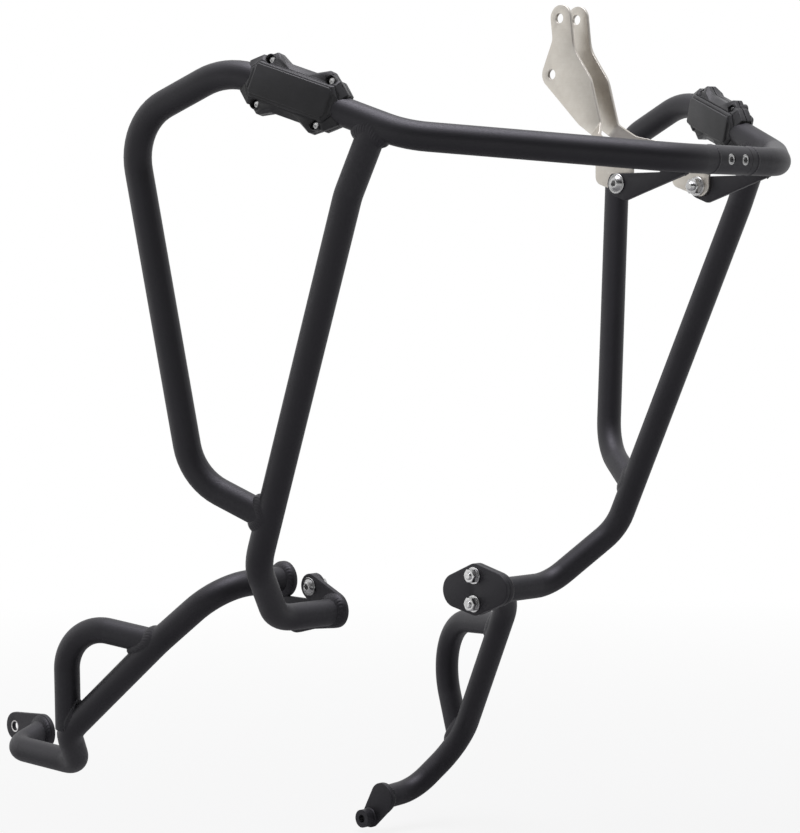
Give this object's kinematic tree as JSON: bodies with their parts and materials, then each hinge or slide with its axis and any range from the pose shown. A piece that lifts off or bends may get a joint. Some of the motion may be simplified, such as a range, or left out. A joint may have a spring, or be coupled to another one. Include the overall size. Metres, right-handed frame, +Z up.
{
  "type": "motorcycle crash bars",
  "caption": "Bent black tube crash bars for a motorcycle: a bolted upper frame with side loops and slider pads, a folded steel centre bracket and braced lower bars.",
  "frame": {"origin": "centre of the bracket's top bolt hole, midway between the two bracket plates", "axes": "+X forward, +Y to the motorcycle's left, along the bracket's bolt holes, +Z up"},
  "size_m": [0.8471, 0.6848, 0.8579],
  "materials": {
    "powder_coat": "satin",
    "stainless_sheet": "brushed",
    "bright_fixing": "bright",
    "pad_plastic": "satin"
  },
  "bodies": {
    "root": {"right_loop_tube": "powder_coat", "right_strut": "powder_coat", "right_upper_flange": "powder_coat", "right_lower_plate": "powder_coat", "right_lower_tube": "powder_coat", "right_brace": "powder_coat", "right_rear_plate": "powder_coat", "right_lug": "powder_coat", "right_connector": "powder_coat", "right_frame_welds": "powder_coat", "right_lower_welds": "powder_coat", "right_bracket_plate": "stainless_sheet", "right_pad_outer": "pad_plastic", "right_pad_inner": "pad_plastic", "left_loop_tube": "powder_coat", "left_strut": "powder_coat", "left_upper_flange": "powder_coat", "left_lower_plate": "powder_coat", "left_lower_tube": "powder_coat", "left_brace": "powder_coat", "left_rear_plate": "powder_coat", "left_lug": "powder_coat", "left_connector": "powder_coat", "left_frame_welds": "powder_coat", "left_lower_welds": "powder_coat", "left_bracket_plate": "stainless_sheet", "left_pad_outer": "pad_plastic", "left_pad_inner": "pad_plastic", "left_rear_boss": "powder_coat", "bolts": "bright_fixing", "washers": "bright_fixing", "nuts": "bright_fixing", "lap_screws": "bright_fixing", "pad_screws": "bright_fixing", "pad_nuts": "bright_fixing"}
  },
  "joints": []
}
